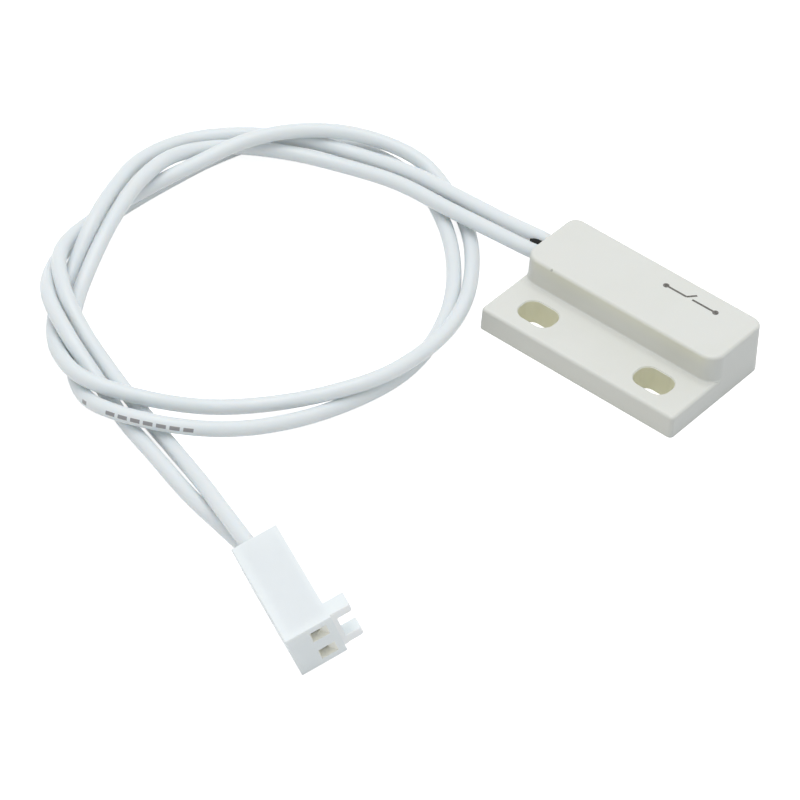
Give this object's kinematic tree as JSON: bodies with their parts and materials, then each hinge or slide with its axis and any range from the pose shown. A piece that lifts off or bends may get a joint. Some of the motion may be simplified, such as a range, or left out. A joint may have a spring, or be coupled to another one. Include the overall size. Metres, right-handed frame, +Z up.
{
  "type": "reed sensor",
  "caption": "Flange-mount magnetic reed sensor: white moulded housing with slotted fixing flange, potted reed switch, two looped leads and a crimp plug.",
  "frame": {"origin": "middle of the sensor housing's footprint, on its underside", "axes": "+X along the housing to its closed end (the leads leave at -X), +Y to the raised body's side, away from the slotted flange, +Z up"},
  "size_m": [0.0618, 0.0633, 0.0071],
  "materials": {
    "housing": "warm off-white moulded plastic, fine satin",
    "resin": "black potting resin, poured",
    "capsule": "clear, faintly green",
    "reed": "drawn nickel-iron",
    "solder": "satin tin solder",
    "core": "tinned copper",
    "lead": "cool white insulation, satin",
    "plug": "cool white moulded nylon",
    "terminal": "tinned, bright"
  },
  "bodies": {
    "sensor": {"housing": "housing", "potting_resin": "resin", "glass_capsule": "capsule", "solder_joint_a": "solder", "solder_joint_b": "solder", "core_a_sensor": "core", "core_b_sensor": "core", "lead_a": "lead", "lead_b": "lead", "core_a_plug": "core", "core_b_plug": "core", "connector_housing": "plug", "terminal_1": "terminal", "terminal_2": "terminal"},
    "left_blade": {"reed_left": "reed"},
    "right_blade": {"reed_right": "reed"}
  },
  "joints": [
    {"name": "left_reed_bend", "type": "hinge", "parent": "sensor", "child": "left_blade", "pos_m": [-0.0051, 0.0018, 0.00275], "axis": [0, 1, 0], "range_deg": [0, 0.6], "stiffness_Nm_per_rad": 0.0005},
    {"name": "right_reed_bend", "type": "hinge", "parent": "sensor", "child": "right_blade", "pos_m": [0.0045, 0.0018, 0.00275], "axis": [0, 1, 0], "range_deg": [0, 0.6], "stiffness_Nm_per_rad": 0.0005}
  ],
  "couplings": [
    {"joint": "right_reed_bend", "follows": "left_reed_bend", "ratio": 1}
  ]
}
